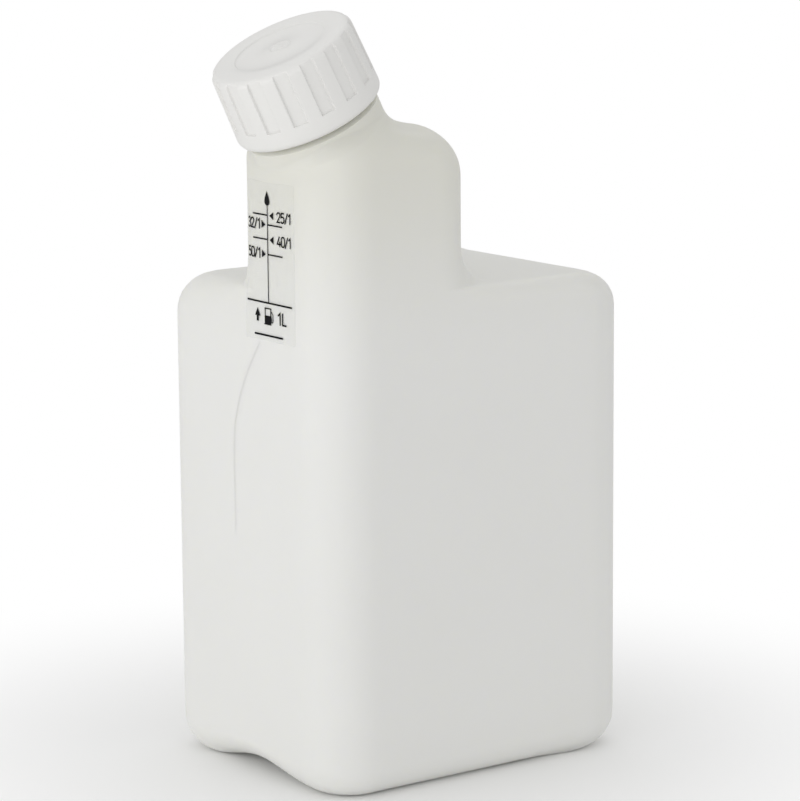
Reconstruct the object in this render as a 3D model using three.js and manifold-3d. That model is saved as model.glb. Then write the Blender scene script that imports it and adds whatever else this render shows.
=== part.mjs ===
// Fuel mixing bottle: a one litre blow-moulded bottle with a square foot block, a narrow
// measuring tower flush with two of its faces, and a tilted threaded neck with a screw cap.
// Millimetres, +Z up. The broad face looks along -Y, the scale face along -X.

import * as THREE from 'three';
import { mergeVertices } from 'three/addons/utils/BufferGeometryUtils.js';
import Module from 'manifold-3d';

// Foot block and tower
const BASE_X = 101;
const BASE_Y = 81.5;
const BASE_CORNER = 14.5;
const SHOULDER_Z = 132.3;
const TOWER_X = 48;
const TOWER_Y = 44.5;
const TOWER_CORNER = 12;
const TOWER_Z = 174.9;
const WALL = 1.2;

// Rounding of the upper and lower edges, by the side they run along
const TOP_EDGE = { right: 14, left: 10, front: 5, back: 13 };
const FOOT_EDGE = { right: 11, left: 9, front: 8, back: 11 };
const TOWER_EDGE = { right: 15, left: 13, front: 9, back: 9 };
const FILLET_RUN = 9;
const FILLET_RISE = 11;

// Shallow arch moulded across the underside, along X
const ARCH_RISE = 3;
const ARCH_START = 15;
const ARCH_END = 67;
const ARCH_FADE = 16;

// Neck, given from the plane where its shoulder meets the finish
const NECK_X = 10.96;
const NECK_Z = 177.1;
const NECK_TILT = THREE.MathUtils.degToRad(27.1);
const FINISH_R = 16.5;
const FINISH_WALL = 1.9;
const FINISH_STEP = 1.3;
const BORE_R = FINISH_R - FINISH_WALL;
const NECK_R = FINISH_R + FINISH_STEP;
const NECK_BLEND = 4.4;
const LIP_S = 18.4;
const SPINE_START_Z = 144;
const NECK_ROOT_S = -18;
const COLLAR_S = -0.9;
const FINISH_S = 0.2;
const LIP_BEVEL = 0.5;
const UPPER_STEP = 0.35;
const TURN_WEIGHT = 9;
const OUTER_UPPER_ROWS = 15;
const INNER_UPPER_ROWS = 9;

// Thread
const PITCH = 4.2;
const THREAD_DEPTH = 1.1;
const THREAD_ROOT_WIDTH = 1.9;
const THREAD_CREST_WIDTH = 0.9;
const THREAD_CLEARANCE = 0.4;
const THREAD_START_S = 6.6;
const THREAD_TURNS = 2;
const THREAD_STEPS = 24;
const THREAD_SINK = 0.5;

// Cap: its bore clears the thread, its top closes over the liner on the lip
const LINER_THICK = 0.9;
const CAP_SKIRT_WALL = 2;
const CAP_TOP_WALL = 1.9;
const CAP_BORE_R = FINISH_R + THREAD_DEPTH + THREAD_CLEARANCE;
const CAP_R = CAP_BORE_R + CAP_SKIRT_WALL;
const LINER_TOP_S = LIP_S + LINER_THICK;
const CAP_H = LINER_TOP_S + CAP_TOP_WALL;
const CAP_TAPER = 0.5;
const CAP_ROUND = 2.4;
const RIM_S = 1;
const RIM_CHAMFER_RUN = 1.3;
const RIM_CHAMFER_RISE = 1.8;
const PANEL_COUNT = 16;
const PANEL_PHASE = 0.3;
const PANEL_WIDTH = 3.9;
const PANEL_DEPTH = 0.7;
const PANEL_LOW_S = 6.2;
const PANEL_TOP_MARGIN = 1.2;
const PANEL_HIGH_S = CAP_H - PANEL_TOP_MARGIN;
const DISC_R = 12.1;
const DISC_DEPTH = 0.4;
const GATE_RING_R = 2.9;
const GATE_RING_WIDTH = 0.6;
const GATE_DOT_R = 0.8;
const GATE_RISE = 0.25;
const CAP_SEGMENTS = 60;

// Clear label film on the scale face
const LABEL_THICK = 0.15;
const LABEL_LOW_Z = 119.6;
const LABEL_HIGH_Z = 161.1;
const LABEL_NEAR_Y = 14.6;
const LABEL_FAR_Y = 37.5;
const LABEL_SWEEP = [140, 205].map(THREE.MathUtils.degToRad);

const CENTRE_X = TOWER_X / 2;
const CENTRE_Y = TOWER_Y / 2;
const MIDDLE_Z = 112;
const OUTER_STEPS = 4;
const INNER_STEPS = 3;
const OUTER_FLOOR = [0.14, 0.3, 0.46, 0.62, 0.78, 0.91];
const INNER_FLOOR = [0.3, 0.6, 0.85];

// Plan outlines

function plan(x1, y1, corner, inset) {
  return {
    x0: inset,
    x1: x1 - inset,
    y0: inset,
    y1: y1 - inset,
    own: BASE_CORNER - inset,
    corner: corner - inset,
  };
}

function planDistance(outline, x, y) {
  const midX = (outline.x0 + outline.x1) / 2;
  const midY = (outline.y0 + outline.y1) / 2;
  const nearCorner = x < midX && y < midY;
  const radius = nearCorner ? outline.own : outline.corner;
  const dx = Math.abs(x - midX) - (outline.x1 - outline.x0) / 2 + radius;
  const dy = Math.abs(y - midY) - (outline.y1 - outline.y0) / 2 + radius;
  const outside = Math.hypot(Math.max(dx, 0), Math.max(dy, 0));
  return outside + Math.min(Math.max(dx, dy), 0) - radius;
}

function findRoot(distance, far) {
  let low = 0;
  let high = far;
  for (let step = 0; step < 48; step += 1) {
    const middle = (low + high) / 2;
    if (distance(middle) < 0) {
      low = middle;
    } else {
      high = middle;
    }
  }
  return (low + high) / 2;
}

function planHit(outline, angle) {
  const cos = Math.cos(angle);
  const sin = Math.sin(angle);
  const along = (reach) => planDistance(outline, CENTRE_X + reach * cos, CENTRE_Y + reach * sin);
  const reach = findRoot(along, BASE_X + BASE_Y);
  const x = CENTRE_X + reach * cos;
  const y = CENTRE_Y + reach * sin;
  const probe = 0.01;
  const nx = (planDistance(outline, x + probe, y) - planDistance(outline, x - probe, y)) / (2 * probe);
  const ny = (planDistance(outline, x, y + probe) - planDistance(outline, x, y - probe)) / (2 * probe);
  return { reach, nx, ny, facing: Math.max(nx * cos + ny * sin, 0.3) };
}

function edgeRadius(edge, hit) {
  const alongX = (hit.nx > 0 ? edge.right : edge.left) * hit.nx ** 2;
  const alongY = (hit.ny > 0 ? edge.back : edge.front) * hit.ny ** 2;
  return (alongX + alongY) / (hit.nx ** 2 + hit.ny ** 2);
}

// Columns: one polar angle each, dense where an outline turns a corner

function cornerAngles(x1, y1, radius, steps) {
  const angles = [];
  const centres = [
    [x1 - radius, y1 - radius, 0],
    [radius, y1 - radius, Math.PI / 2],
    [radius, radius, Math.PI],
    [x1 - radius, radius, 1.5 * Math.PI],
  ];
  for (const [cx, cy, start] of centres) {
    for (let step = 0; step <= steps; step += 1) {
      const turn = start + (step / steps) * (Math.PI / 2);
      angles.push(Math.atan2(cy + radius * Math.sin(turn) - CENTRE_Y, cx + radius * Math.cos(turn) - CENTRE_X));
    }
  }
  return angles;
}

function columnAngles() {
  const wanted = [
    ...cornerAngles(BASE_X, BASE_Y, BASE_CORNER, 5),
    ...cornerAngles(TOWER_X, TOWER_Y, TOWER_CORNER, 5),
  ].map((angle) => (angle + 2 * Math.PI) % (2 * Math.PI));
  const smallest = THREE.MathUtils.degToRad(2);
  const largest = THREE.MathUtils.degToRad(9);
  const kept = [];
  for (const angle of wanted.sort((a, b) => a - b)) {
    const clear = kept.every((other) => {
      const gap = Math.abs(other - angle);
      return Math.min(gap, 2 * Math.PI - gap) >= smallest;
    });
    if (clear) {
      kept.push(angle);
    }
  }
  kept.sort((a, b) => a - b);
  const columns = [];
  kept.forEach((angle, index) => {
    const next = index + 1 < kept.length ? kept[index + 1] : kept[0] + 2 * Math.PI;
    const parts = Math.ceil((next - angle) / largest);
    for (let part = 0; part < parts; part += 1) {
      columns.push(angle + ((next - angle) * part) / parts);
    }
  });
  return columns;
}

// Foot block and shoulder: one meridian for each column

function archLift(y, z) {
  const across = THREE.MathUtils.clamp((y - ARCH_START) / (ARCH_END - ARCH_START), 0, 1);
  const bump = 0.5 - 0.5 * Math.cos(2 * Math.PI * across);
  return ARCH_RISE * bump * (1 - THREE.MathUtils.smoothstep(z, 0, ARCH_FADE));
}

function quarterArc(steps, place) {
  const points = [];
  for (let step = 0; step <= steps; step += 1) {
    const turn = (step / steps) * (Math.PI / 2);
    points.push(place(Math.sin(turn), Math.cos(turn)));
  }
  return points;
}

function lowerMeridian(angle, inset, floorParts, steps) {
  const base = planHit(plan(BASE_X, BASE_Y, BASE_CORNER, inset), angle);
  const tower = planHit(plan(TOWER_X, TOWER_Y, TOWER_CORNER, inset), angle);
  const footRise = edgeRadius(FOOT_EDGE, base) - inset;
  const footRun = footRise / base.facing;
  const topRise = edgeRadius(TOP_EDGE, base) - inset;
  const filletRise = FILLET_RISE + inset;
  const fullTopRun = topRise / base.facing;
  const fullFilletRun = (FILLET_RUN + inset) / tower.facing;
  const share = Math.min(1, (base.reach - tower.reach) / (fullTopRun + fullFilletRun));
  const topRun = fullTopRun * share;
  const filletRun = fullFilletRun * share;
  const shoulder = SHOULDER_Z - inset;
  const path = floorParts.map((part) => [part * (base.reach - footRun), inset]);
  path.push(...quarterArc(steps, (sin, cos) => [
    base.reach - footRun + footRun * sin,
    inset + footRise - footRise * cos,
  ]));
  path.push([base.reach, ARCH_FADE + inset]);
  path.push([base.reach, MIDDLE_Z]);
  path.push(...quarterArc(steps, (sin, cos) => [
    base.reach - topRun + topRun * cos,
    shoulder - topRise + topRise * sin,
  ]));
  path.push(...quarterArc(steps, (sin, cos) => [
    tower.reach + filletRun - filletRun * sin,
    shoulder + filletRise - filletRise * cos,
  ]));
  return path;
}

function lowerRings(columns, inset, floorParts, steps) {
  const paths = columns.map((angle) => lowerMeridian(angle, inset, floorParts, steps));
  return paths[0].map((_, row) => columns.map((angle, column) => {
    const [reach, z] = paths[column][row];
    const x = CENTRE_X + reach * Math.cos(angle);
    const y = CENTRE_Y + reach * Math.sin(angle);
    return new THREE.Vector3(x, y, z + archLift(y, z - inset));
  }));
}

// Tower top and neck foot: rays from a spine that bends from upright into the neck axis

const neckOrigin = new THREE.Vector3(NECK_X, CENTRE_Y, NECK_Z);
const neckAxis = new THREE.Vector3(-Math.sin(NECK_TILT), 0, Math.cos(NECK_TILT));
const sideways = new THREE.Vector3(0, 1, 0);

function neckPoint(s) {
  return neckOrigin.clone().addScaledVector(neckAxis, s);
}

const bendS = (NECK_X - CENTRE_X) / Math.sin(NECK_TILT);
const bendPoint = neckPoint(bendS);
const bendLength = bendPoint.z - SPINE_START_Z;
const spineBend = new THREE.QuadraticBezierCurve3(
  new THREE.Vector3(CENTRE_X, CENTRE_Y, SPINE_START_Z),
  bendPoint,
  neckPoint(bendS + bendLength),
);

function spineStation(s) {
  const part = (s - bendS + bendLength) / (2 * bendLength);
  if (part >= 1) {
    return { centre: neckPoint(s), axis: neckAxis.clone() };
  }
  return { centre: spineBend.getPoint(part), axis: spineBend.getTangent(part) };
}

function towerDistance(point, outline, edge, inset) {
  const side = planDistance(outline, point.x, point.y) + edge;
  const above = point.z - (TOWER_Z - inset) + edge;
  const outside = Math.hypot(Math.max(side, 0), Math.max(above, 0));
  return outside + Math.min(Math.max(side, above), 0) - edge;
}

function neckDistance(point, inset) {
  const along = Math.max(point.clone().sub(neckOrigin).dot(neckAxis), NECK_ROOT_S);
  return point.distanceTo(neckPoint(along)) - (NECK_R - inset);
}

function blendedUnion(a, b, width) {
  const overlap = Math.max(width - Math.abs(a - b), 0) / width;
  return Math.min(a, b) - overlap * overlap * width * 0.25;
}

function upperProfile(angle, outline, edge, inset) {
  const profile = [];
  for (let s = bendS - bendLength + UPPER_STEP; s < COLLAR_S; s += UPPER_STEP) {
    const { centre, axis } = spineStation(s);
    const outward = new THREE.Vector3().crossVectors(sideways, axis);
    const ray = outward.multiplyScalar(Math.cos(angle)).addScaledVector(sideways, Math.sin(angle));
    const blend = THREE.MathUtils.clamp(COLLAR_S - s, 0.2, NECK_BLEND);
    const along = (reach) => {
      const point = centre.clone().addScaledVector(ray, reach);
      return blendedUnion(towerDistance(point, outline, edge, inset), neckDistance(point, inset), blend);
    };
    profile.push(centre.clone().addScaledVector(ray, findRoot(along, TOWER_X)));
  }
  return profile;
}

// Rows are spread evenly over length and turning, so that they gather in the roundings

function spreadRows(profile, count) {
  const measure = [0];
  for (let index = 1; index < profile.length; index += 1) {
    const step = profile[index].clone().sub(profile[index - 1]);
    const after = profile[Math.min(index + 1, profile.length - 1)].clone().sub(profile[index]);
    const turning = after.lengthSq() > 0 ? step.angleTo(after) : 0;
    measure.push(measure[index - 1] + step.length() + TURN_WEIGHT * turning);
  }
  const total = measure[measure.length - 1];
  const rows = [];
  let index = 0;
  for (let row = 0; row < count; row += 1) {
    const wanted = (total * (row + 0.5)) / count;
    while (measure[index + 1] < wanted) {
      index += 1;
    }
    const part = (wanted - measure[index]) / (measure[index + 1] - measure[index]);
    rows.push(profile[index].clone().lerp(profile[index + 1], part));
  }
  return rows;
}

function upperRings(columns, inset, count) {
  const outline = plan(TOWER_X, TOWER_Y, TOWER_CORNER, inset);
  const paths = columns.map((angle) => {
    const edge = edgeRadius(TOWER_EDGE, planHit(outline, angle)) - inset;
    return spreadRows(upperProfile(angle, outline, edge, inset), count);
  });
  return paths[0].map((_, row) => paths.map((path) => path[row]));
}

function neckRing(columns, radius, s) {
  const outward = new THREE.Vector3().crossVectors(sideways, neckAxis);
  return columns.map((angle) => neckPoint(s)
    .addScaledVector(outward, radius * Math.cos(angle))
    .addScaledVector(sideways, radius * Math.sin(angle)));
}

// Meshes

function closedLoft(rings, firstPole, lastPole) {
  const count = rings[0].length;
  const positions = [];
  const indices = [];
  rings.forEach((ring) => ring.forEach((point) => positions.push(point.x, point.y, point.z)));
  const first = rings.length * count;
  positions.push(firstPole.x, firstPole.y, firstPole.z, lastPole.x, lastPole.y, lastPole.z);
  for (let column = 0; column < count; column += 1) {
    const next = (column + 1) % count;
    indices.push(first, next, column);
    for (let row = 0; row + 1 < rings.length; row += 1) {
      const low = row * count;
      const high = low + count;
      indices.push(low + column, low + next, high + next, low + column, high + next, high + column);
    }
    const top = (rings.length - 1) * count;
    indices.push(top + column, top + next, first + 1);
  }
  const geometry = new THREE.BufferGeometry();
  geometry.setAttribute('position', new THREE.Float32BufferAttribute(positions, 3));
  geometry.setIndex(indices);
  return geometry;
}

function helixRidge(rootR, crestR, startS, startTurn, turns) {
  const steps = Math.round(turns * THREAD_STEPS);
  const rings = [];
  for (let step = 0; step <= steps; step += 1) {
    const turn = startTurn + (step / THREAD_STEPS) * 2 * Math.PI;
    const s = startS + (step / THREAD_STEPS) * PITCH;
    const fade = Math.min(1, Math.min(step, steps - step) / 3);
    const crest = rootR + (crestR - rootR) * fade;
    const sunk = rootR + Math.sign(rootR - crestR) * THREAD_SINK;
    const section = [
      [sunk, -THREAD_ROOT_WIDTH / 2],
      [rootR, -THREAD_ROOT_WIDTH / 2],
      [crest, -THREAD_CREST_WIDTH / 2],
      [crest, THREAD_CREST_WIDTH / 2],
      [rootR, THREAD_ROOT_WIDTH / 2],
      [sunk, THREAD_ROOT_WIDTH / 2],
    ];
    if (crestR > rootR) {
      section.reverse();
    }
    rings.push(section.map(([radius, rise]) => new THREE.Vector3(
      radius * Math.cos(turn),
      radius * Math.sin(turn),
      s + rise,
    )));
  }
  const middle = (ring) => ring.reduce((sum, point) => sum.add(point), new THREE.Vector3()).divideScalar(6);
  return closedLoft(rings, middle(rings[0]), middle(rings[rings.length - 1]));
}

function filmPatch(rows, outwards) {
  const height = rows.length;
  const width = outwards.length;
  const positions = [];
  const indices = [];
  for (const thickness of [0, LABEL_THICK]) {
    rows.forEach((row) => row.forEach((point, column) => {
      positions.push(
        point.x + thickness * outwards[column].nx,
        point.y + thickness * outwards[column].ny,
        point.z,
      );
    }));
  }
  const at = (layer, row, column) => layer * height * width + row * width + column;
  const quad = (a, b, c, d) => indices.push(a, b, c, a, c, d);
  for (let row = 0; row + 1 < height; row += 1) {
    for (let column = 0; column + 1 < width; column += 1) {
      quad(at(1, row, column), at(1, row, column + 1), at(1, row + 1, column + 1), at(1, row + 1, column));
      quad(at(0, row, column), at(0, row + 1, column), at(0, row + 1, column + 1), at(0, row, column + 1));
    }
    quad(at(0, row, 0), at(1, row, 0), at(1, row + 1, 0), at(0, row + 1, 0));
    const last = width - 1;
    quad(at(1, row, last), at(0, row, last), at(0, row + 1, last), at(1, row + 1, last));
  }
  for (let column = 0; column + 1 < width; column += 1) {
    const top = height - 1;
    quad(at(0, 0, column), at(0, 0, column + 1), at(1, 0, column + 1), at(1, 0, column));
    quad(at(1, top, column), at(1, top, column + 1), at(0, top, column + 1), at(0, top, column));
  }
  const geometry = new THREE.BufferGeometry();
  geometry.setAttribute('position', new THREE.Float32BufferAttribute(positions, 3));
  geometry.setIndex(indices);
  return geometry;
}

// Solids for joining and cutting

const wasm = await Module();
wasm.setup();

function toSolid(geometry) {
  const bare = geometry.clone();
  bare.deleteAttribute('normal');
  bare.deleteAttribute('uv');
  const merged = mergeVertices(bare, 1e-4);
  return new wasm.Manifold(new wasm.Mesh({
    numProp: 3,
    vertProperties: new Float32Array(merged.attributes.position.array),
    triVerts: new Uint32Array(merged.index.array),
  }));
}

function toGeometry(solid) {
  const mesh = solid.getMesh();
  const geometry = new THREE.BufferGeometry();
  geometry.setAttribute('position', new THREE.BufferAttribute(new Float32Array(mesh.vertProperties), 3));
  geometry.setIndex(new THREE.BufferAttribute(new Uint32Array(mesh.triVerts), 1));
  return geometry;
}

function placeOnNeck(geometry) {
  return geometry.rotateY(-NECK_TILT).translate(neckOrigin.x, neckOrigin.y, neckOrigin.z);
}

function turned(profile, segments) {
  const points = profile.map(([radius, s]) => new THREE.Vector2(radius, s));
  return new THREE.LatheGeometry(points, segments).rotateX(Math.PI / 2);
}

// Bottle

const columns = columnAngles();
const outerLower = lowerRings(columns, 0, OUTER_FLOOR, OUTER_STEPS);
const outerUpper = upperRings(columns, 0, OUTER_UPPER_ROWS);
const outerRings = [...outerLower, ...outerUpper];
const finishRings = [
  neckRing(columns, NECK_R, COLLAR_S),
  neckRing(columns, FINISH_R, FINISH_S),
  neckRing(columns, FINISH_R, LIP_S - LIP_BEVEL),
  neckRing(columns, FINISH_R - LIP_BEVEL, LIP_S),
  neckRing(columns, BORE_R + LIP_BEVEL, LIP_S),
  neckRing(columns, BORE_R, LIP_S - LIP_BEVEL),
  neckRing(columns, BORE_R, COLLAR_S),
];
const innerRings = [
  ...lowerRings(columns, WALL, INNER_FLOOR, INNER_STEPS),
  ...upperRings(columns, WALL, INNER_UPPER_ROWS),
].reverse();
const footPole = new THREE.Vector3(CENTRE_X, CENTRE_Y, archLift(CENTRE_Y, 0));
const floorPole = footPole.clone().setZ(footPole.z + WALL);
const shell = closedLoft([...outerRings, ...finishRings, ...innerRings], footPole, floorPole);
const neckThread = placeOnNeck(helixRidge(FINISH_R, FINISH_R + THREAD_DEPTH, THREAD_START_S, 0, THREAD_TURNS));
const bottleGeometry = toGeometry(toSolid(shell).add(toSolid(neckThread)));

// Cap

const capShoulderR = CAP_R - CAP_TAPER - CAP_ROUND;
const discTop = CAP_H - DISC_DEPTH;
const capRound = quarterArc(OUTER_STEPS, (sin, cos) => [
  capShoulderR + CAP_ROUND * cos,
  CAP_H - CAP_ROUND + CAP_ROUND * sin,
]);
const capProfile = [
  [0, LINER_TOP_S],
  [CAP_BORE_R, LINER_TOP_S],
  [CAP_BORE_R, RIM_S + LIP_BEVEL],
  [CAP_BORE_R + LIP_BEVEL / 2, RIM_S],
  [CAP_R - RIM_CHAMFER_RUN, RIM_S],
  [CAP_R, RIM_S + RIM_CHAMFER_RISE],
  ...capRound,
  [DISC_R + DISC_DEPTH, CAP_H],
  [DISC_R, discTop],
  [GATE_RING_R + GATE_RING_WIDTH / 2, discTop],
  [GATE_RING_R, discTop + GATE_RISE],
  [GATE_RING_R - GATE_RING_WIDTH / 2, discTop],
  [GATE_DOT_R, discTop],
  [GATE_DOT_R - GATE_RISE, discTop + GATE_RISE],
  [0, discTop + GATE_RISE],
];
let capSolid = toSolid(turned(capProfile, CAP_SEGMENTS));
for (let index = 0; index < PANEL_COUNT; index += 1) {
  const height = PANEL_HIGH_S - PANEL_LOW_S;
  const panel = new THREE.BoxGeometry(2 * PANEL_DEPTH, PANEL_WIDTH, height)
    .translate(CAP_R, 0, PANEL_LOW_S + height / 2)
    .rotateZ(((index + PANEL_PHASE) / PANEL_COUNT) * 2 * Math.PI);
  capSolid = capSolid.subtract(toSolid(panel));
}
const capThreadTurns = THREAD_TURNS - 0.25;
const capThread = helixRidge(CAP_BORE_R, FINISH_R + THREAD_CLEARANCE, THREAD_START_S - PITCH / 2, 0, capThreadTurns);
const capGeometry = placeOnNeck(toGeometry(capSolid.add(toSolid(capThread))));

// Sealing disc, held between the cap and the lip

const linerR = CAP_BORE_R - 2 * THREAD_CLEARANCE;
const linerGeometry = placeOnNeck(new THREE.CylinderGeometry(linerR, linerR, LINER_THICK, CAP_SEGMENTS)
  .rotateX(Math.PI / 2)
  .translate(0, 0, LIP_S + LINER_THICK / 2));

// Label film: a layer over the wall, trimmed to a rectangle

const labelColumns = columns.map((angle, index) => ({ angle, index }))
  .filter(({ angle }) => angle >= LABEL_SWEEP[0] && angle <= LABEL_SWEEP[1]);
const labelRows = outerRings
  .filter((ring) => ring[labelColumns[0].index].z >= MIDDLE_Z)
  .map((ring) => labelColumns.map(({ index }) => ring[index]));
const towerOutline = plan(TOWER_X, TOWER_Y, TOWER_CORNER, 0);
const labelOutwards = labelColumns.map(({ angle }) => planHit(towerOutline, angle));
const labelWindow = new THREE.BoxGeometry(TOWER_X, LABEL_FAR_Y - LABEL_NEAR_Y, LABEL_HIGH_Z - LABEL_LOW_Z)
  .translate(0, (LABEL_FAR_Y + LABEL_NEAR_Y) / 2, (LABEL_HIGH_Z + LABEL_LOW_Z) / 2);
const labelSolid = toSolid(filmPatch(labelRows, labelOutwards)).intersect(toSolid(labelWindow));
const labelGeometry = toGeometry(labelSolid);

// Parts, set with the middle of the whole over the origin and the foot on the ground

const parts = [
  ['bottle', bottleGeometry, 0xdcddd5, 0.42],
  ['cap', capGeometry, 0xe6e5df, 0.4],
  ['cap_liner', linerGeometry, 0xf2f1ec, 0.6],
  ['scale_label', labelGeometry, 0xe2e4dc, 0.2],
];
const box = new THREE.Box3();
for (const [, geometry] of parts) {
  box.union(new THREE.Box3().setFromBufferAttribute(geometry.attributes.position));
}
const middle = box.getCenter(new THREE.Vector3());
const root = new THREE.Group();
root.name = 'fuel_mixing_bottle';
for (const [name, geometry, color, roughness] of parts) {
  geometry.translate(-middle.x, -middle.y, -box.min.z);
  geometry.deleteAttribute('normal');
  geometry.computeVertexNormals();
  const mesh = new THREE.Mesh(geometry, new THREE.MeshStandardMaterial({ color, roughness }));
  mesh.name = name;
  root.add(mesh);
}

export default root;
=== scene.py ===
# Fuel mixing bottle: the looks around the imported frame. Sizes in the helpers are millimetres
# from the block's front left corner; the meshes are made in metres, in the frame of the model.
import math

import bmesh
import bpy
import numpy as np
from mathutils import Matrix, Vector
from mathutils.bvhtree import BVHTree


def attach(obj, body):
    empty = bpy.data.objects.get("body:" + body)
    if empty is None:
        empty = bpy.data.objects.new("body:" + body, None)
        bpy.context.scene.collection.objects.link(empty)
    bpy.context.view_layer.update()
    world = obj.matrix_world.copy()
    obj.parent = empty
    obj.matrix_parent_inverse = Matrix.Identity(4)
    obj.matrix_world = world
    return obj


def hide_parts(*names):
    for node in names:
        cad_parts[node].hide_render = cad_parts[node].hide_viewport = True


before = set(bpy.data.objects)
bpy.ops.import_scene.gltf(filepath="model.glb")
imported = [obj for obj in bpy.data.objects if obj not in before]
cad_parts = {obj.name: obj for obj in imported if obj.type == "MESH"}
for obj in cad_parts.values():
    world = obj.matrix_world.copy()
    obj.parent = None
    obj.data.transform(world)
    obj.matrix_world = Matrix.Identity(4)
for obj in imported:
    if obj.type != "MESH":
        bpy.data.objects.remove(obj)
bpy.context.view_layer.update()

# Middle of the CAD box on the floor, the origin of the frame
MIDDLE = np.array([42.8904, 40.75, 0.0])
# How the outline is found: start of the search, step for its slope, least cosine to a ray
BEYOND, SLOPE_STEP, LEAST_FACING = 180.0, 0.01, 0.3
BASE_X, BASE_Y, OWN_CORNER, SHOULDER_Z = 101.0, 81.5, 14.5, 132.3
TOWER_X, TOWER_Y, TOWER_Z = 48.0, 44.5, 174.9
TOWER_CORNER = 12.0
WALL = 1.2
TOP_EDGE = (14.0, 10.0, 13.0, 5.0)
FOOT_EDGE = (11.0, 9.0, 11.0, 8.0)
TOWER_EDGE = (15.0, 13.0, 9.0, 9.0)
FILLET_RUN, FILLET_RISE = 9.0, 11.0
ARCH_RISE, ARCH_START, ARCH_END, ARCH_FADE = 3.0, 15.0, 67.0, 16.0
NECK_X, NECK_Z, TILT, NECK_R = 10.96, 177.1, math.radians(27.1), 17.8
NECK_ROOT_S, COLLAR_S, NECK_BLEND, SPINE_START_Z = -18.0, -0.9, 4.4, 144.0
FINISH_R, FINISH_S, BORE_R, LIP_S, LIP_ROUND, LIP_EASE = 16.5, 0.2, 14.6, 18.4, 0.5, 0.15
PITCH, THREAD_DEPTH, THREAD_START_S, THREAD_TURNS = 4.2, 1.1, 6.6, 2.0
ROOT_WIDTH, CREST_WIDTH, FLANK_EASE, CLEARANCE = 1.9, 0.9, 0.18, 0.4
CAP_R, CAP_H, CAP_TAPER, CAP_ROUND, RIM_S = 19.8, 21.2, 0.5, 2.2, 1.0
PANELS, PANEL_PHASE, PANEL_WIDTH, PANEL_DEPTH = 16, 0.3, 3.8, 0.7
PANEL_LOW, DISC_R, DISC_DEPTH, LINER = 6.2, 12.1, 0.4, 0.9
CENTRE = np.array([TOWER_X / 2, TOWER_Y / 2])
AXIS = np.array([-math.sin(TILT), 0.0, math.cos(TILT)])
OUT = np.array([math.cos(TILT), 0.0, math.sin(TILT)])
SIDE = np.array([0.0, 1.0, 0.0])
NECK = np.array([NECK_X, CENTRE[1], NECK_Z])


# Shape helpers

def smooth(value, low, high):
    part = np.clip((value - low) / (high - low), 0, 1)
    return part * part * (3 - 2 * part)


def outline_distance(kind, inset, x, y):
    wide, deep = (BASE_X, BASE_Y) if kind == "base" else (TOWER_X, TOWER_Y)
    mid_x, mid_y = wide / 2, deep / 2
    if kind == "base":
        radius = np.full(np.shape(x), OWN_CORNER - inset)
    else:
        radius = np.where((x < mid_x) & (y < mid_y), OWN_CORNER, TOWER_CORNER) - inset
    dx = np.abs(x - mid_x) - (mid_x - inset) + radius
    dy = np.abs(y - mid_y) - (mid_y - inset) + radius
    outside = np.hypot(np.maximum(dx, 0), np.maximum(dy, 0))
    return outside + np.minimum(np.maximum(dx, dy), 0) - radius


def root(distance, far, shape):
    low, high = np.zeros(shape), np.full(shape, far)
    for _ in range(44):
        middle = (low + high) / 2
        inside = distance(middle) < 0
        low, high = np.where(inside, middle, low), np.where(inside, high, middle)
    return (low + high) / 2


def outline_hit(kind, inset, angles):
    cos, sin = np.cos(angles), np.sin(angles)

    def distance(x, y):
        return outline_distance(kind, inset, x, y)

    reach = root(lambda r: distance(CENTRE[0] + r * cos, CENTRE[1] + r * sin), BEYOND, angles.shape)
    x, y = CENTRE[0] + reach * cos, CENTRE[1] + reach * sin
    nx = (distance(x + SLOPE_STEP, y) - distance(x - SLOPE_STEP, y)) / (2 * SLOPE_STEP)
    ny = (distance(x, y + SLOPE_STEP) - distance(x, y - SLOPE_STEP)) / (2 * SLOPE_STEP)
    return reach, nx, ny, np.maximum(nx * cos + ny * sin, LEAST_FACING)


def edge_radius(edge, nx, ny):
    right, left, back, front = edge
    total = np.where(nx > 0, right, left) * nx ** 2 + np.where(ny > 0, back, front) * ny ** 2
    return total / (nx ** 2 + ny ** 2)


def arch(y, z):
    across = np.clip((y - ARCH_START) / (ARCH_END - ARCH_START), 0, 1)
    return ARCH_RISE * (0.5 - 0.5 * np.cos(2 * np.pi * across)) * (1 - smooth(z, 0, ARCH_FADE))


def column_angles(steps, largest):
    found = []
    outlines = ((BASE_X, BASE_Y, [OWN_CORNER] * 4),
                (TOWER_X, TOWER_Y, [TOWER_CORNER, TOWER_CORNER, OWN_CORNER, TOWER_CORNER]))
    for wide, deep, corners in outlines:
        for index, radius in enumerate(corners):
            cx = wide - radius if index in (0, 3) else radius
            cy = deep - radius if index in (0, 1) else radius
            for step in range(steps + 1):
                turn = (index + step / steps) * math.pi / 2
                x, y = cx + radius * math.cos(turn), cy + radius * math.sin(turn)
                found.append(math.atan2(y - CENTRE[1], x - CENTRE[0]) % (2 * math.pi))
    kept = []
    for angle in sorted(found):
        if not kept or angle - kept[-1] > math.radians(0.8):
            kept.append(angle)
    full = []
    for index, angle in enumerate(kept):
        after = kept[index + 1] if index + 1 < len(kept) else kept[0] + 2 * math.pi
        parts = max(1, math.ceil((after - angle) / largest))
        full += [angle + (after - angle) * part / parts for part in range(parts)]
    return np.array(full)


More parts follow.
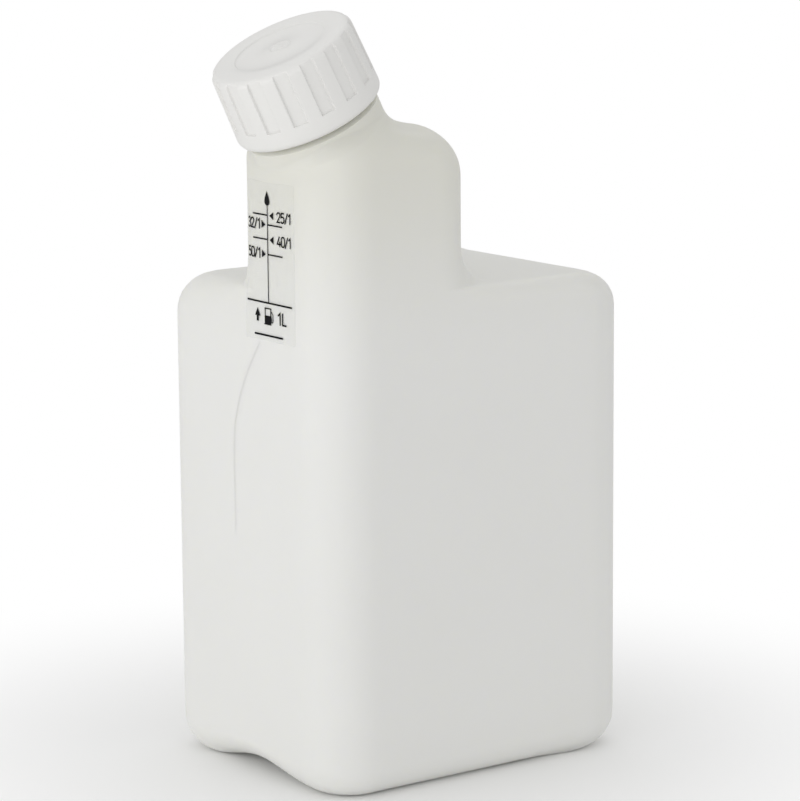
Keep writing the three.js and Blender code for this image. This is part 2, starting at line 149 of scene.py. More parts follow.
def lower_rows(angles, inset, floor, steps):
    base, bx, by, facing = outline_hit("base", inset, angles)
    tower, _, _, tower_facing = outline_hit("tower", inset, angles)
    foot_rise = edge_radius(FOOT_EDGE, bx, by) - inset
    foot_run = foot_rise / facing
    top_rise = edge_radius(TOP_EDGE, bx, by) - inset
    fillet_rise = FILLET_RISE + inset
    top_run, fillet_run = top_rise / facing, (FILLET_RUN + inset) / tower_facing
    share = np.minimum(1, (base - tower) / (top_run + fillet_run))
    top_run, fillet_run = top_run * share, fillet_run * share
    shoulder = SHOULDER_Z - inset
    rows = [(part * (base - foot_run), np.full(base.shape, inset)) for part in floor]
    turns = np.linspace(0, math.pi / 2, steps + 1)
    rows += [(base - foot_run + foot_run * math.sin(t), inset + foot_rise * (1 - math.cos(t))) for t in turns]
    for part in np.linspace(0, 1, 9)[1:-1]:
        low, high = inset + foot_rise, shoulder - top_rise
        rows.append((base, low + (high - low) * part))
    rows += [(base - top_run * (1 - math.cos(t)), shoulder - top_rise * (1 - math.sin(t))) for t in turns]
    outer, inner = base - top_run, tower + fillet_run
    rows += [(outer + (inner - outer) * part, np.full(base.shape, shoulder)) for part in (0.33, 0.67)]
    rows += [(tower + fillet_run * (1 - math.sin(t)), shoulder + fillet_rise * (1 - math.cos(t)))
             for t in turns]
    made = []
    for reach, z in rows:
        x, y = CENTRE[0] + reach * np.cos(angles), CENTRE[1] + reach * np.sin(angles)
        made.append(np.stack([x, y, z + arch(y, z - inset)], -1))
    return made


def spine(s):
    bend_s = (NECK_X - CENTRE[0]) / math.sin(TILT)
    bend = NECK + bend_s * AXIS
    length = bend[2] - SPINE_START_Z
    part = (s - bend_s + length) / (2 * length)
    if part >= 1:
        return NECK + s * AXIS, AXIS
    start, end = np.array([CENTRE[0], CENTRE[1], SPINE_START_Z]), NECK + (bend_s + length) * AXIS
    centre = (1 - part) ** 2 * start + 2 * part * (1 - part) * bend + part ** 2 * end
    along = (1 - part) * (bend - start) + part * (end - bend)
    return centre, along / np.linalg.norm(along)


def upper_rows(angles, inset, count):
    _, nx, ny, _ = outline_hit("tower", inset, angles)
    edge = edge_radius(TOWER_EDGE, nx, ny) - inset
    bend_s = (NECK_X - CENTRE[0]) / math.sin(TILT)
    length = (NECK + bend_s * AXIS)[2] - SPINE_START_Z
    profile = []
    for s in np.arange(bend_s - length + 0.2, COLLAR_S, 0.2):
        centre, axis = spine(s)
        ray = np.cos(angles)[:, None] * np.cross(SIDE, axis) + np.sin(angles)[:, None] * SIDE
        blend = min(max(COLLAR_S - s, 0.2), NECK_BLEND)

        def distance(reach):
            point = centre + reach[:, None] * ray
            side = outline_distance("tower", inset, point[:, 0], point[:, 1]) + edge
            above = point[:, 2] - (TOWER_Z - inset) + edge
            outside = np.hypot(np.maximum(side, 0), np.maximum(above, 0))
            tower = outside + np.minimum(np.maximum(side, above), 0) - edge
            along = np.maximum((point - NECK) @ AXIS, NECK_ROOT_S)
            neck = np.linalg.norm(point - NECK - along[:, None] * AXIS, axis=1) - (NECK_R - inset)
            overlap = np.maximum(blend - np.abs(tower - neck), 0) / blend
            return np.minimum(tower, neck) - overlap ** 2 * blend * 0.25

        profile.append(centre + root(distance, TOWER_X, angles.shape)[:, None] * ray)
    path = np.stack(profile)
    step = np.diff(path, axis=0)
    size = np.linalg.norm(step, axis=2)
    cosine = np.sum(step[1:] * step[:-1], axis=2) / np.maximum(size[1:] * size[:-1], 1e-12)
    turning = np.concatenate([np.arccos(np.clip(cosine, -1, 1)), np.zeros((1, len(angles)))])
    measure = np.concatenate([np.zeros((1, len(angles))), np.cumsum(size + 9 * turning, axis=0)])
    rows = np.zeros((count, len(angles), 3))
    for column in range(len(angles)):
        wanted = measure[-1, column] * (np.arange(count) + 0.5) / count
        for axis in range(3):
            rows[:, column, axis] = np.interp(wanted, measure[:, column], path[:, column, axis])
    return list(rows)


def neck_row(angles, radius, s):
    return NECK + s * AXIS + radius * (np.cos(angles)[:, None] * OUT + np.sin(angles)[:, None] * SIDE)


def neck_point(radius, s, angle):
    return NECK + s * AXIS + radius * (math.cos(angle) * OUT + math.sin(angle) * SIDE)


# Mesh helpers

def to_metres(points):
    return (np.asarray(points, float) - MIDDLE) / 1000


def new_object(name, points, faces, body, slot_name, material, sharp=40.0):
    mesh = bpy.data.meshes.new(name)
    mesh.from_pydata([tuple(p) for p in to_metres(points)], [], faces)
    work = bmesh.new()
    work.from_mesh(mesh)
    bmesh.ops.remove_doubles(work, verts=work.verts, dist=1e-7)
    bmesh.ops.recalc_face_normals(work, faces=work.faces)
    work.to_mesh(mesh)
    work.free()
    for polygon in mesh.polygons:
        polygon.use_smooth = True
    mesh.set_sharp_from_angle(angle=math.radians(sharp))
    piece = bpy.data.objects.new(name, mesh)
    bpy.context.scene.collection.objects.link(piece)
    piece.data.materials.append(material)
    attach(piece, body)
    return piece


def ring_mesh(rows, first=None, last=None, closed=True):
    count = len(rows[0])
    points = np.concatenate(rows)
    faces = []
    for row in range(len(rows) - 1):
        for column in range(count if closed else count - 1):
            after = (column + 1) % count
            low, high = row * count, (row + 1) * count
            faces.append((low + column, low + after, high + after, high + column))
    extra = []
    for pole, row, turn in ((first, 0, True), (last, len(rows) - 1, False)):
        if pole is not None:
            index = len(points) + len(extra)
            extra.append(pole)
            for column in range(count):
                after = (column + 1) % count
                a, b = row * count + column, row * count + after
                faces.append((index, b, a) if turn else (index, a, b))
    if extra:
        points = np.concatenate([points, np.array(extra)])
    return points, faces


def helix(root_r, crest_r, start_s, turns, steps=72):
    rows = []
    total = round(turns * steps)
    for step in range(total + 1):
        turn = step / steps * 2 * math.pi
        s = start_s + step / steps * PITCH
        fade = min(1.0, min(step, total - step) / (steps / 8))
        crest = root_r + (crest_r - root_r) * smooth(fade, 0, 1)
        sunk = root_r + math.copysign(0.5, root_r - crest_r)
        soft = 0.3 * (crest - root_r)
        flank = CREST_WIDTH / 2 + FLANK_EASE
        section = [(sunk, -ROOT_WIDTH / 2), (root_r, -ROOT_WIDTH / 2),
                   (crest - soft, -flank), (crest, -CREST_WIDTH / 4),
                   (crest, CREST_WIDTH / 4), (crest - soft, flank),
                   (root_r, ROOT_WIDTH / 2), (sunk, ROOT_WIDTH / 2)]
        rows.append(np.array([neck_point(r, s + rise, turn) for r, rise in section]))
    return ring_mesh(rows, rows[0].mean(axis=0), rows[-1].mean(axis=0))


# Materials

SCATTER = (0.004, 0.004, 0.003)


def material(name, color, roughness, warm=None, bump=0.02, bump_scale=900.0, subsurface=0.0, spread=0.05):
    made = bpy.data.materials.new(name)
    made.use_nodes = True
    nodes, links = made.node_tree.nodes, made.node_tree.links
    shader = nodes["Principled BSDF"]
    shader.inputs["Roughness"].default_value = roughness
    shader.inputs["IOR"].default_value = 1.5
    shader.inputs["Subsurface Weight"].default_value = subsurface
    shader.inputs["Subsurface Radius"].default_value = SCATTER
    shader.inputs["Subsurface Scale"].default_value = 1.0
    place = nodes.new("ShaderNodeTexCoord")
    clouds = nodes.new("ShaderNodeTexNoise")
    clouds.inputs["Scale"].default_value = 14.0
    clouds.inputs["Detail"].default_value = 3.0
    links.new(place.outputs["Object"], clouds.inputs["Vector"])
    ramp = nodes.new("ShaderNodeValToRGB")
    ramp.color_ramp.elements[0].position, ramp.color_ramp.elements[1].position = 0.3, 0.7
    ramp.color_ramp.elements[0].color = (*[c * (1 - spread) for c in color], 1)
    ramp.color_ramp.elements[1].color = (*color, 1)
    links.new(clouds.outputs["Fac"], ramp.inputs["Fac"])
    tone = ramp.outputs["Color"]
    if warm is not None:
        tone = warm(nodes, links, place, tone)
    links.new(tone, shader.inputs["Base Color"])
    fine = nodes.new("ShaderNodeTexNoise")
    fine.inputs["Scale"].default_value = bump_scale
    fine.inputs["Detail"].default_value = 4.0
    links.new(place.outputs["Object"], fine.inputs["Vector"])
    level = nodes.new("ShaderNodeMapRange")
    level.inputs["To Min"].default_value = roughness - 0.05
    level.inputs["To Max"].default_value = roughness + 0.05
    links.new(clouds.outputs["Fac"], level.inputs["Value"])
    links.new(level.outputs["Result"], shader.inputs["Roughness"])
    relief = nodes.new("ShaderNodeBump")
    relief.inputs["Strength"].default_value = bump
    relief.inputs["Distance"].default_value = 0.0002
    links.new(fine.outputs["Fac"], relief.inputs["Height"])
    links.new(relief.outputs["Normal"], shader.inputs["Normal"])
    return made


def darker_warmer_towards_neck(nodes, links, place, tone):
    """The colour turns darker and warmer upwards, towards the neck."""
    split = nodes.new("ShaderNodeSeparateXYZ")
    links.new(place.outputs["Object"], split.inputs["Vector"])
    rise = nodes.new("ShaderNodeMapRange")
    rise.interpolation_type = "SMOOTHSTEP"
    rise.inputs["From Min"].default_value = 0.110
    rise.inputs["From Max"].default_value = 0.176
    links.new(split.outputs["Z"], rise.inputs["Value"])
    mix = nodes.new("ShaderNodeMix")
    mix.data_type = "RGBA"
    links.new(rise.outputs["Result"], mix.inputs["Factor"])
    links.new(tone, mix.inputs["A"])
    mix.inputs["B"].default_value = (0.74, 0.735, 0.655, 1)
    return mix.outputs["Result"]


natural = material("natural_hdpe", (0.83, 0.83, 0.785), 0.42, warm=darker_warmer_towards_neck, subsurface=0.35,
                   spread=0.02, bump=0.06, bump_scale=500.0)
white = material("white_cap_plastic", (0.785, 0.78, 0.76), 0.38, spread=0.02, bump=0.03, bump_scale=350.0)
foam = material("foam_seal", (0.85, 0.84, 0.82), 0.8, spread=0.06, bump=0.4, bump_scale=2600.0)
ink = material("black_print", (0.008, 0.008, 0.009), 0.8, spread=0.2, bump=0.05)
ink.node_tree.nodes["Principled BSDF"].inputs["Specular IOR Level"].default_value = 0.1

film = bpy.data.materials.new("clear_film")
film.use_nodes = True
film_shader = film.node_tree.nodes["Principled BSDF"]
film_shader.inputs["Roughness"].default_value = 0.22
film_shader.inputs["Alpha"].default_value = 0.07
film_noise = film.node_tree.nodes.new("ShaderNodeTexNoise")
film_noise.inputs["Scale"].default_value = 160.0
film_place = film.node_tree.nodes.new("ShaderNodeTexCoord")
film.node_tree.links.new(film_place.outputs["Object"], film_noise.inputs["Vector"])
film_ramp = film.node_tree.nodes.new("ShaderNodeValToRGB")
film_ramp.color_ramp.elements[0].color = (0.80, 0.81, 0.79, 1)
film_ramp.color_ramp.elements[1].color = (0.84, 0.85, 0.83, 1)
film.node_tree.links.new(film_noise.outputs["Fac"], film_ramp.inputs["Fac"])
film.node_tree.links.new(film_ramp.outputs["Color"], film_shader.inputs["Base Color"])
film_bump = film.node_tree.nodes.new("ShaderNodeBump")
film_bump.inputs["Strength"].default_value = 0.08
film_bump.inputs["Distance"].default_value = 0.0002
film.node_tree.links.new(film_noise.outputs["Fac"], film_bump.inputs["Height"])
film.node_tree.links.new(film_bump.outputs["Normal"], film_shader.inputs["Normal"])


# Bottle

angles = column_angles(10, math.radians(3.2))
floor_parts = list(np.linspace(0, 1, 12)[1:-1])
outer = lower_rows(angles, 0.0, floor_parts, 9) + upper_rows(angles, 0.0, 56)
finish_profile = [(NECK_R, COLLAR_S), (NECK_R - 0.12, COLLAR_S + 0.12), (FINISH_R, FINISH_S),
                  (FINISH_R, LIP_S - LIP_ROUND), (FINISH_R - LIP_EASE, LIP_S - LIP_EASE),
                  (FINISH_R - LIP_ROUND, LIP_S), (BORE_R + LIP_ROUND, LIP_S),
                  (BORE_R + LIP_EASE, LIP_S - LIP_EASE), (BORE_R, LIP_S - LIP_ROUND), (BORE_R, COLLAR_S)]
finish = [neck_row(angles, radius, s) for radius, s in finish_profile]
inner = (lower_rows(angles, WALL, floor_parts, 6) + upper_rows(angles, WALL, 36))[::-1]
pole = np.array([CENTRE[0], CENTRE[1], float(arch(CENTRE[1], 0.0))])
shell_points, shell_faces = ring_mesh(outer + finish + inner, pole, pole + [0, 0, WALL])
bottle = new_object("bottle_shell", shell_points, shell_faces, "bottle_body", "natural_hdpe", natural)
new_object("neck_thread", *helix(FINISH_R, FINISH_R + THREAD_DEPTH, THREAD_START_S, THREAD_TURNS),
           "bottle_body", "natural_hdpe", natural)
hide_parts("bottle")


# Cap

half = PANEL_WIDTH / 2 / CAP_R
pitch_angle = 2 * math.pi / PANELS
offsets = (0, 0.5, 0.85, 0.93, 0.965, 1.0, 1.035, 1.07, 1.15, 1.5, 1.85)
cap_angles = []
for index in range(PANELS):
    for offset in offsets:
        for side in (1, -1) if offset else (1,):
            cap_angles.append((index + PANEL_PHASE) * pitch_angle + side * offset * half)
cap_angles = np.array(sorted(a % (2 * math.pi) for a in cap_angles))
bore, seat_s = FINISH_R + THREAD_DEPTH + CLEARANCE, LIP_S + LINER
round_s, round_r, disc_s = CAP_H - CAP_ROUND, CAP_R - CAP_TAPER - CAP_ROUND, CAP_H - DISC_DEPTH


def skirt_r(s):
    return CAP_R - CAP_TAPER * min(max(0.0, s - 3.0) / (round_s - 3.0), 1.0)


def from_middle(angle):
    """How far an angle is from the middle of the nearest recess, where its edge is 1."""
    turn = angle - PANEL_PHASE * pitch_angle + pitch_angle / 2
    return abs(turn % pitch_angle - pitch_angle / 2) / half


cap_inside = [(0.0, seat_s), (6.0, seat_s), (bore - 0.4, seat_s), (bore, seat_s - 0.4),
              (bore, 12.0), (bore, 6.0), (bore, RIM_S + 0.4), (bore + 0.25, RIM_S)]
cap_rim = [(CAP_R - 1.1, RIM_S), (CAP_R - 0.85, RIM_S + 0.06), (CAP_R - 0.3, RIM_S + 0.55),
           (CAP_R - 0.06, RIM_S + 1.1), (CAP_R, RIM_S + 1.8)]
recess_foot = [PANEL_LOW + rise for rise in (-0.2, -0.1, -0.03, 0.03, 0.1, 0.2)]
cap_skirt = [(skirt_r(s), s) for s in (4.5, *recess_foot, 8, 10, 12, 14, 16, 17.5, 18.5)]
cap_shoulder = [(round_r + CAP_ROUND * math.cos(t), round_s + CAP_ROUND * math.sin(t))
                for t in np.linspace(0, math.pi / 2, 15)]
cap_top = [(15.0, CAP_H), (DISC_R + 0.42, CAP_H), (DISC_R + 0.3, CAP_H - 0.06),
           (DISC_R + 0.1, CAP_H - 0.34), (DISC_R - 0.05, disc_s), (8.0, disc_s)]
gate_ring = [(3.3, disc_s), (3.15, disc_s + 0.06), (2.95, disc_s + 0.22), (2.75, disc_s + 0.22),
             (2.55, disc_s + 0.06), (2.4, disc_s)]
gate_dot = [(1.2, disc_s), (1.05, disc_s + 0.05), (0.85, disc_s + 0.2), (0.4, disc_s + 0.24),
            (0.0, disc_s + 0.24)]
profile = cap_inside + cap_rim + cap_skirt + cap_shoulder + cap_top + gate_ring + gate_dot
floor_r = round_r + CAP_ROUND - PANEL_DEPTH
cap_rows = []
for radius, s in profile[1:-1]:
    row = []
    panel_r = skirt_r(s) - PANEL_DEPTH if s < round_s else floor_r
    low_part = float(smooth(s, PANEL_LOW - 0.12, PANEL_LOW + 0.12)) if radius > bore + 0.5 else 0.0
    for angle in cap_angles:
        sunk_part = 1 - float(smooth(from_middle(angle), 0.93, 1.07))
        row.append(neck_point(radius - max(0.0, radius - panel_r) * low_part * sunk_part, s, angle))
    cap_rows.append(np.array(row))
cap_points, cap_faces = ring_mesh(cap_rows, neck_point(0, profile[0][1], 0), neck_point(0, profile[-1][1], 0))
cap = new_object("ribbed_cap", cap_points, cap_faces, "screw_cap", "white_plastic", white, 75.0)
new_object("cap_thread", *helix(bore, FINISH_R + CLEARANCE, THREAD_START_S - PITCH / 2, THREAD_TURNS - 0.25),
           "screw_cap", "white_plastic", white)
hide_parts("cap")
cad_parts["cap_liner"].data.materials.clear()
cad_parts["cap_liner"].data.materials.append(foam)


# Label film and its print, laid on the scale face

LABEL_Y, LABEL_Z, MARK_Y = (14.6, 37.4), (119.45, 161.1), 26.7
FILM_LIFT, FILM_THICK, PRINT_LIFT, PRINT_THICK = 0.02, 0.12, 0.15, 0.03
# Shift along Y for each millimetre along X on the camera's line of sight
SIGHT_SLOPE = 1.379
# Direction, start, end and pitch of the cuts that let a flat figure follow the wall
CUTS = (((1, 0, 0), 14, 40, 1.0), ((0, 1, 0), 119, 162, 1.5))
wall_points, wall_faces = ring_mesh(outer)
wall_tree = BVHTree.FromPolygons([Vector(p) for p in wall_points], wall_faces)


def on_wall(y, z, lift):
    hit, normal, _, _ = wall_tree.ray_cast(Vector((-60.0, y, z)), Vector((1, 0, 0)))
    if normal.x > 0:
        normal = -normal
    return np.array(hit + normal * lift)


def on_print(y, z, lift):
    """Where the face leans out, print measured on the plane x = 0 is shifted to suit."""
    moved = y
    for _ in range(6):
        moved = y + SIGHT_SLOPE * min(on_wall(moved, z, 0.0)[0], 0.0)
    return on_wall(moved, z, lift)


def draped(name, outline_points, lift, thick, material_used, slot_name):
    """A flat figure in (y, z) millimetres, cut fine and laid on the wall."""
    work = bmesh.new()
    for loop in outline_points:
        verts = [work.verts.new((y, z, 0)) for y, z in loop]
        work.faces.new(verts)
    bmesh.ops.remove_doubles(work, verts=work.verts, dist=1e-4)
    bmesh.ops.triangulate(work, faces=work.faces)
    for axis, start, end, pitch in CUTS:
        for value in np.arange(start, end, pitch):
            point = (value, 0, 0) if axis[0] else (0, value, 0)
            whole = work.verts[:] + work.edges[:] + work.faces[:]
            bmesh.ops.bisect_plane(work, geom=whole, dist=1e-5, plane_co=point, plane_no=axis)
    bmesh.ops.remove_doubles(work, verts=work.verts, dist=1e-4)
    flat = [v.co.copy() for v in work.verts]
    work.verts.index_update()
    tris = [tuple(v.index for v in f.verts) for f in work.faces]
    rim = [tuple(v.index for v in e.verts) for e in work.edges if len(e.link_faces) == 1]
    work.free()
    below = [on_print(c.x, c.y, lift) for c in flat]
    above = [on_print(c.x, c.y, lift + thick) for c in flat]
    count = len(flat)
    faces = [tuple(reversed(f)) for f in tris] + [tuple(i + count for i in f) for f in tris]
    faces += [(a, b, b + count, a + count) for a, b in rim]
    return new_object(name, np.array(below + above), faces, "bottle_body", slot_name, material_used, 50.0)


def bar(y0, z0, y1, z1, width):
    along = np.array([y1 - y0, z1 - z0])
    side = np.array([-along[1], along[0]]) / np.linalg.norm(along) * width / 2
    a, b = np.array([y0, z0]), np.array([y1, z1])
    return [tuple(a - side), tuple(b - side), tuple(b + side), tuple(a + side)]


def rounded(y0, z0, y1, z1, radius):
    centres = ((y1 - radius, z1 - radius), (y0 + radius, z1 - radius),
               (y0 + radius, z0 + radius), (y1 - radius, z0 + radius))
    points = []
    for index, (cy, cz) in enumerate(centres):
        for step in range(5):
            turn = (index + step / 4) * math.pi / 2
            points.append((cy + radius * math.cos(turn), cz + radius * math.sin(turn)))
    return points


film_outline = rounded(LABEL_Y[0], LABEL_Z[0], LABEL_Y[1], LABEL_Z[1], 0.4)
label = draped("scale_film", [film_outline], FILM_LIFT, FILM_THICK, film, "clear_film")
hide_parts("scale_label")

LITRE_Z, SCALE_TOP_Z, TICK_LENGTH = 129.4, 155.0, 6.7
# Height of each tick and the side that it points to
TICKS = ((152.3, 1), (149.8, -1), (146.0, 1), (142.1, -1))
DROP_STEPS, DROP_Z, DROP_HALF_WIDTH, DROP_HALF_HEIGHT, DROP_SHARPNESS = 28, 156.8, 1.6, 1.95, 1.6


def scale_lines():
    """The upright line, the litre line, and each tick with its arrow head."""
    lines = [bar(MARK_Y, LITRE_Z, MARK_Y, SCALE_TOP_Z, 0.3), bar(36.6, 129.5, 16.0, LITRE_Z, 0.46)]
    for z, side in TICKS:
        lines.append(bar(MARK_Y, z, MARK_Y + side * TICK_LENGTH, z, 0.38))
        tip = MARK_Y - side * 0.95
        lines.append([(tip, z - 0.05), (tip - side * 1.75, z + 1.02), (tip - side * 1.75, z - 1.0)])
    return lines


def oil_drop():
    drop = []
    for step in range(DROP_STEPS):
        turn = step / DROP_STEPS * 2 * math.pi
        across = DROP_HALF_WIDTH * math.sin(turn) * abs(math.sin(turn / 2)) ** DROP_SHARPNESS
        drop.append((MARK_Y + 0.05 + across, DROP_Z + DROP_HALF_HEIGHT * math.cos(turn)))
    return drop


def litre_arrow():
    return [(31.8, 127.8), (30.6, 125.7), (31.4, 125.7), (31.4, 124.3),
            (32.3, 124.3), (32.3, 125.7), (33.0, 125.7)]


def fuel_pump():
    body = [rounded(25.55, 124.0, 28.55, 126.1, 0.25), bar(25.6, 123.85, 28.8, 123.85, 0.3)]
    window = [bar(28.35, 125.8, 28.35, 128.1, 0.35), bar(25.75, 125.8, 25.75, 128.1, 0.35),
              bar(25.6, 128.0, 28.5, 128.0, 0.35)]
    hose = [bar(25.5, 127.3, 24.7, 126.5, 0.24), bar(24.75, 126.6, 24.75, 124.6, 0.24),
            bar(24.75, 124.65, 25.3, 124.4, 0.24), bar(25.3, 124.4, 25.5, 125.8, 0.2)]
    return body + window + hose


# A plain bar stands for the words under the scale
words_bar = bar(33.3, 120.9, 20.3, 120.9, 0.5)
marks = scale_lines() + [oil_drop(), litre_arrow()] + fuel_pump() + [words_bar]
for index, figure in enumerate(marks):
    draped("print_mark_%02d" % index, [figure], PRINT_LIFT, PRINT_THICK, ink, "clear_film")


# Width of each figure and its strokes, in shares of the figure's height
GLYPHS = {
    "0": (0.56, [[(0.06, 0.5), (0.06, 0.74), (0.1, 0.87), (0.18, 0.94), (0.28, 0.96), (0.38, 0.94),
                  (0.46, 0.87), (0.5, 0.74), (0.5, 0.5), (0.5, 0.26), (0.46, 0.13), (0.38, 0.06),
                  (0.28, 0.04), (0.18, 0.06), (0.1, 0.13), (0.06, 0.26), (0.06, 0.5)]]),
    "1": (0.42, [[(0.05, 0.74), (0.27, 0.94), (0.27, 0.0)]]),
    "2": (0.56, [[(0.06, 0.72), (0.09, 0.85), (0.17, 0.94), (0.28, 0.96), (0.39, 0.93), (0.47, 0.84),
                  (0.48, 0.71), (0.43, 0.58), (0.08, 0.05), (0.52, 0.05)]]),
    "3": (0.56, [[(0.06, 0.8), (0.13, 0.91), (0.26, 0.96), (0.39, 0.92), (0.46, 0.8), (0.44, 0.65),
                  (0.35, 0.55), (0.22, 0.53)],
                 [(0.3, 0.53), (0.42, 0.46), (0.5, 0.33), (0.48, 0.17), (0.39, 0.07), (0.26, 0.04),
                  (0.12, 0.08), (0.05, 0.2)]]),
    "4": (0.58, [[(0.38, 0.98), (0.06, 0.26), (0.56, 0.26)], [(0.42, 0.52), (0.42, 0.0)]]),
    "5": (0.56, [[(0.48, 0.95), (0.11, 0.95), (0.09, 0.55), (0.2, 0.61), (0.33, 0.6), (0.44, 0.51),
                  (0.49, 0.35), (0.46, 0.17), (0.37, 0.07), (0.25, 0.04), (0.13, 0.07), (0.05, 0.18)]]),
    "/": (0.46, [[(0.03, -0.04), (0.4, 1.02)]]),
    "L": (0.5, [[(0.1, 1.0), (0.1, 0.06), (0.48, 0.06)]]),
}


def stroke(path, width):
    """One polygon of even width along a path."""
    path = [np.array(p, float) for p in path]
    sides = []
    for index, point in enumerate(path):
        before = point - path[index - 1] if index else path[1] - point
        after = path[index + 1] - point if index + 1 < len(path) else before
        before, after = before / np.linalg.norm(before), after / np.linalg.norm(after)
        normal = np.array([-before[1] - after[1], before[0] + after[0]])
        normal /= max(np.linalg.norm(normal), 1e-6)
        reach = width / 2 / max(float(normal @ np.array([-before[1], before[0]])), 0.5)
        sides.append((point + normal * reach, point - normal * reach))
    return [[tuple(a), tuple(c), tuple(d), tuple(b)] for (a, b), (c, d) in zip(sides, sides[1:])]


def lettered(name, words, y_left, z_low, height, width, line=0.4):
    """Figures of the scale, read from the -X side, so that they run towards -Y."""
    total = sum(GLYPHS[letter][0] for letter in words)
    scale = width / total
    figures, along = [], 0.0
    for letter in words:
        advance, paths = GLYPHS[letter]
        for path in paths:
            figures += stroke([(y_left - (along + x) * scale, z_low + z * height) for x, z in path], line)
        along += advance
    draped(name, figures, PRINT_LIFT, PRINT_THICK, ink, "clear_film")


lettered("print_25", "25/1", 22.5, 150.8, 2.75, 6.6)
lettered("print_40", "40/1", 22.5, 144.6, 2.75, 6.6)
lettered("print_32", "32/1", 36.4, 148.45, 2.75, 6.5)
lettered("print_50", "50/1", 36.4, 140.85, 2.75, 6.5)
lettered("print_litre", "1L", 22.7, 124.2, 3.3, 4.2, 0.48)


# Seam left by the mould, a fine raised line on the scale face

SEAM_HALF_WIDTH, SEAM_HEIGHT = 0.35, 0.03
seam = [(31.2, 118.6), (33.8, 115.2), (36.1, 112.0), (38.0, 109.0), (39.6, 106.2), (41.0, 103.2),
        (42.1, 100.5), (43.7, 95.5), (44.2, 90.0), (44.3, 82.0), (44.2, 74.0), (44.2, 66.0)]


def ridge(name, path, place, half_width, height):
    strip = []
    for index, (across, z) in enumerate(path):
        before, after = path[max(index - 1, 0)], path[min(index + 1, len(path) - 1)]
        along = np.array([after[0] - before[0], after[1] - before[1]])
        side = np.array([-along[1], along[0]]) / np.linalg.norm(along)
        fade = min(1.0, index / 2, (len(path) - 1 - index) / 4)
        section = ((-1, -0.04), (-0.4, height * fade), (0.4, height * fade), (1, -0.04))
        strip.append(np.array([place(across + side[0] * off * half_width, z + side[1] * off * half_width, lift)
                               for off, lift in section]))
    new_object(name, *ring_mesh(strip, closed=False), "bottle_body", "natural_hdpe", natural)


ridge("mould_seam", seam, on_wall, SEAM_HALF_WIDTH, SEAM_HEIGHT)

# Floor, light and camera

def plain(name, color):
    made = bpy.data.materials.new(name)
    made.use_nodes = True
    made.node_tree.nodes["Principled BSDF"].inputs["Base Color"].default_value = (*color, 1)
    made.node_tree.nodes["Principled BSDF"].inputs["Roughness"].default_value = 0.9
    made.node_tree.nodes["Principled BSDF"].inputs["Specular IOR Level"].default_value = 0.0
    return made


floor_mesh = bpy.data.meshes.new("floor")
floor_mesh.from_pydata([(-6, -6, 0), (6, -6, 0), (6, 6, 0), (-6, 6, 0)], [], [(0, 1, 2, 3)])
floor = bpy.data.objects.new("floor", floor_mesh)
bpy.context.scene.collection.objects.link(floor)
floor_look = plain("floor_white", (0.93, 0.93, 0.93))
fn, fl = floor_look.node_tree.nodes, floor_look.node_tree.links
floor_place = fn.new("ShaderNodeTexCoord")
floor_far = fn.new("ShaderNodeVectorMath")
floor_far.operation = "LENGTH"
floor_fade = fn.new("ShaderNodeMapRange")
floor_fade.interpolation_type = "SMOOTHSTEP"
floor_fade.inputs["From Min"].default_value = 0.04
floor_fade.inputs["From Max"].default_value = 0.20
floor_rays = fn.new("ShaderNodeLightPath")
floor_share = fn.new("ShaderNodeMath")
floor_share.operation = "MULTIPLY"
floor_bright = fn.new("ShaderNodeEmission")
floor_bright.inputs["Color"].default_value = (1, 1, 1, 1)
floor_bright.inputs["Strength"].default_value = 1.0
floor_mix = fn.new("ShaderNodeMixShader")
fl.new(floor_place.outputs["Object"], floor_far.inputs[0])
fl.new(floor_far.outputs["Value"], floor_fade.inputs["Value"])
fl.new(floor_fade.outputs["Result"], floor_share.inputs[0])
fl.new(floor_rays.outputs["Is Camera Ray"], floor_share.inputs[1])
fl.new(floor_share.outputs[0], floor_mix.inputs["Fac"])
fl.new(fn["Principled BSDF"].outputs[0], floor_mix.inputs[1])
fl.new(floor_bright.outputs[0], floor_mix.inputs[2])
fl.new(floor_mix.outputs[0], fn["Material Output"].inputs["Surface"])
floor.data.materials.append(floor_look)


def softbox(name, at, look, size, power, color=(1, 1, 1)):
    lamp = bpy.data.lights.new(name, "AREA")
    lamp.shape = "RECTANGLE"
    lamp.size, lamp.size_y = size
    lamp.energy = power
    lamp.color = color
    holder = bpy.data.objects.new(name, lamp)
    holder.location = at
    holder.rotation_mode = "QUATERNION"
    holder.rotation_quaternion = (Vector(look) - Vector(at)).to_track_quat("-Z", "Y")
    bpy.context.scene.collection.objects.link(holder)


POWER_LEFT, POWER_CORNER, POWER_TOP, POWER_RIGHT, SKY = 2.18, 1.75, 1.45, 0.32, 0.70
softbox("left", (-1.0, 0.0, 0.25), (0, 0, 0.1), (0.9, 0.6), POWER_LEFT)
softbox("corner", (-0.8, -0.85, 0.3), (0, 0, 0.1), (0.7, 0.6), POWER_CORNER)
softbox("top", (0.35, 0.45, 1.05), (0, 0, 0.05), (1.0, 1.0), POWER_TOP)
softbox("right", (0.6, -1.0, 0.4), (0, 0, 0.1), (0.8, 0.7), POWER_RIGHT)

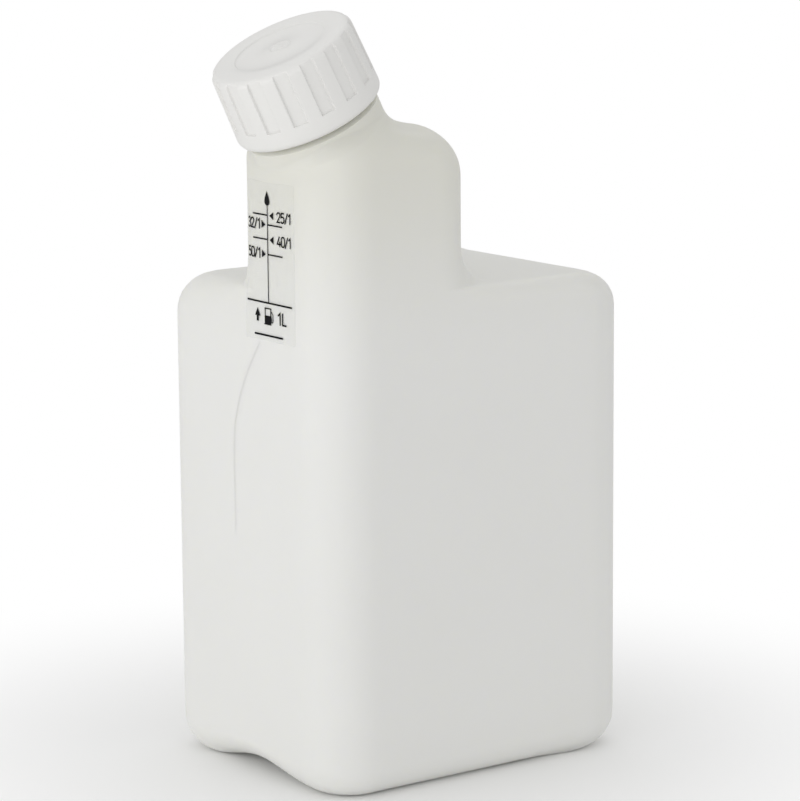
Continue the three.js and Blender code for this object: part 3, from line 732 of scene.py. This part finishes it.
world = bpy.data.worlds.new("studio")
bpy.context.scene.world = world
world.use_nodes = True
wn, wl = world.node_tree.nodes, world.node_tree.links
wn.clear()
path = wn.new("ShaderNodeLightPath")
seen = wn.new("ShaderNodeMath")
seen.operation = "MAXIMUM"
wl.new(path.outputs["Is Camera Ray"], seen.inputs[0])
wl.new(path.outputs["Is Transmission Ray"], seen.inputs[1])
plain_light = wn.new("ShaderNodeBackground")
plain_light.inputs["Color"].default_value = (1, 1, 1, 1)
plain_light.inputs["Strength"].default_value = SKY
white_back = wn.new("ShaderNodeBackground")
white_back.inputs["Color"].default_value = (1, 1, 1, 1)
white_back.inputs["Strength"].default_value = 1.0
choose = wn.new("ShaderNodeMixShader")
out = wn.new("ShaderNodeOutputWorld")
wl.new(seen.outputs[0], choose.inputs["Fac"])
wl.new(plain_light.outputs[0], choose.inputs[1])
wl.new(white_back.outputs[0], choose.inputs[2])
wl.new(choose.outputs[0], out.inputs["Surface"])

# The camera fitted to the photograph, with its focal length in pixels
SENSOR, FOCAL_PIXELS, PHOTO_WIDTH = 36.0, 3377.33, 800.0
YAW, CAMERA_PITCH, ROLL = 54.0466, 10.3620, -0.4588
EYE = [-478.986, -690.942, 261.265]
camera = bpy.data.cameras.new("camera")
camera.sensor_fit = "HORIZONTAL"
camera.sensor_width = SENSOR
camera.lens = FOCAL_PIXELS * SENSOR / PHOTO_WIDTH
camera.clip_start, camera.clip_end = 0.05, 20.0
holder = bpy.data.objects.new("camera", camera)
bpy.context.scene.collection.objects.link(holder)
yaw, pitch, roll = (math.radians(a) for a in (YAW, CAMERA_PITCH, ROLL))
right = Vector((math.sin(yaw), -math.cos(yaw), 0))
forward = Vector((math.cos(pitch) * math.cos(yaw), math.cos(pitch) * math.sin(yaw), -math.sin(pitch)))
up = right.cross(forward)
turned_right = math.cos(roll) * right + math.sin(roll) * up
turned_up = -math.sin(roll) * right + math.cos(roll) * up
eye = Vector(to_metres(EYE))
pose = Matrix((turned_right, turned_up, -forward)).transposed().to_4x4()
pose.translation = eye
holder.matrix_world = pose
bpy.context.scene.camera = holder
bpy.context.scene.view_settings.view_transform = "Standard"
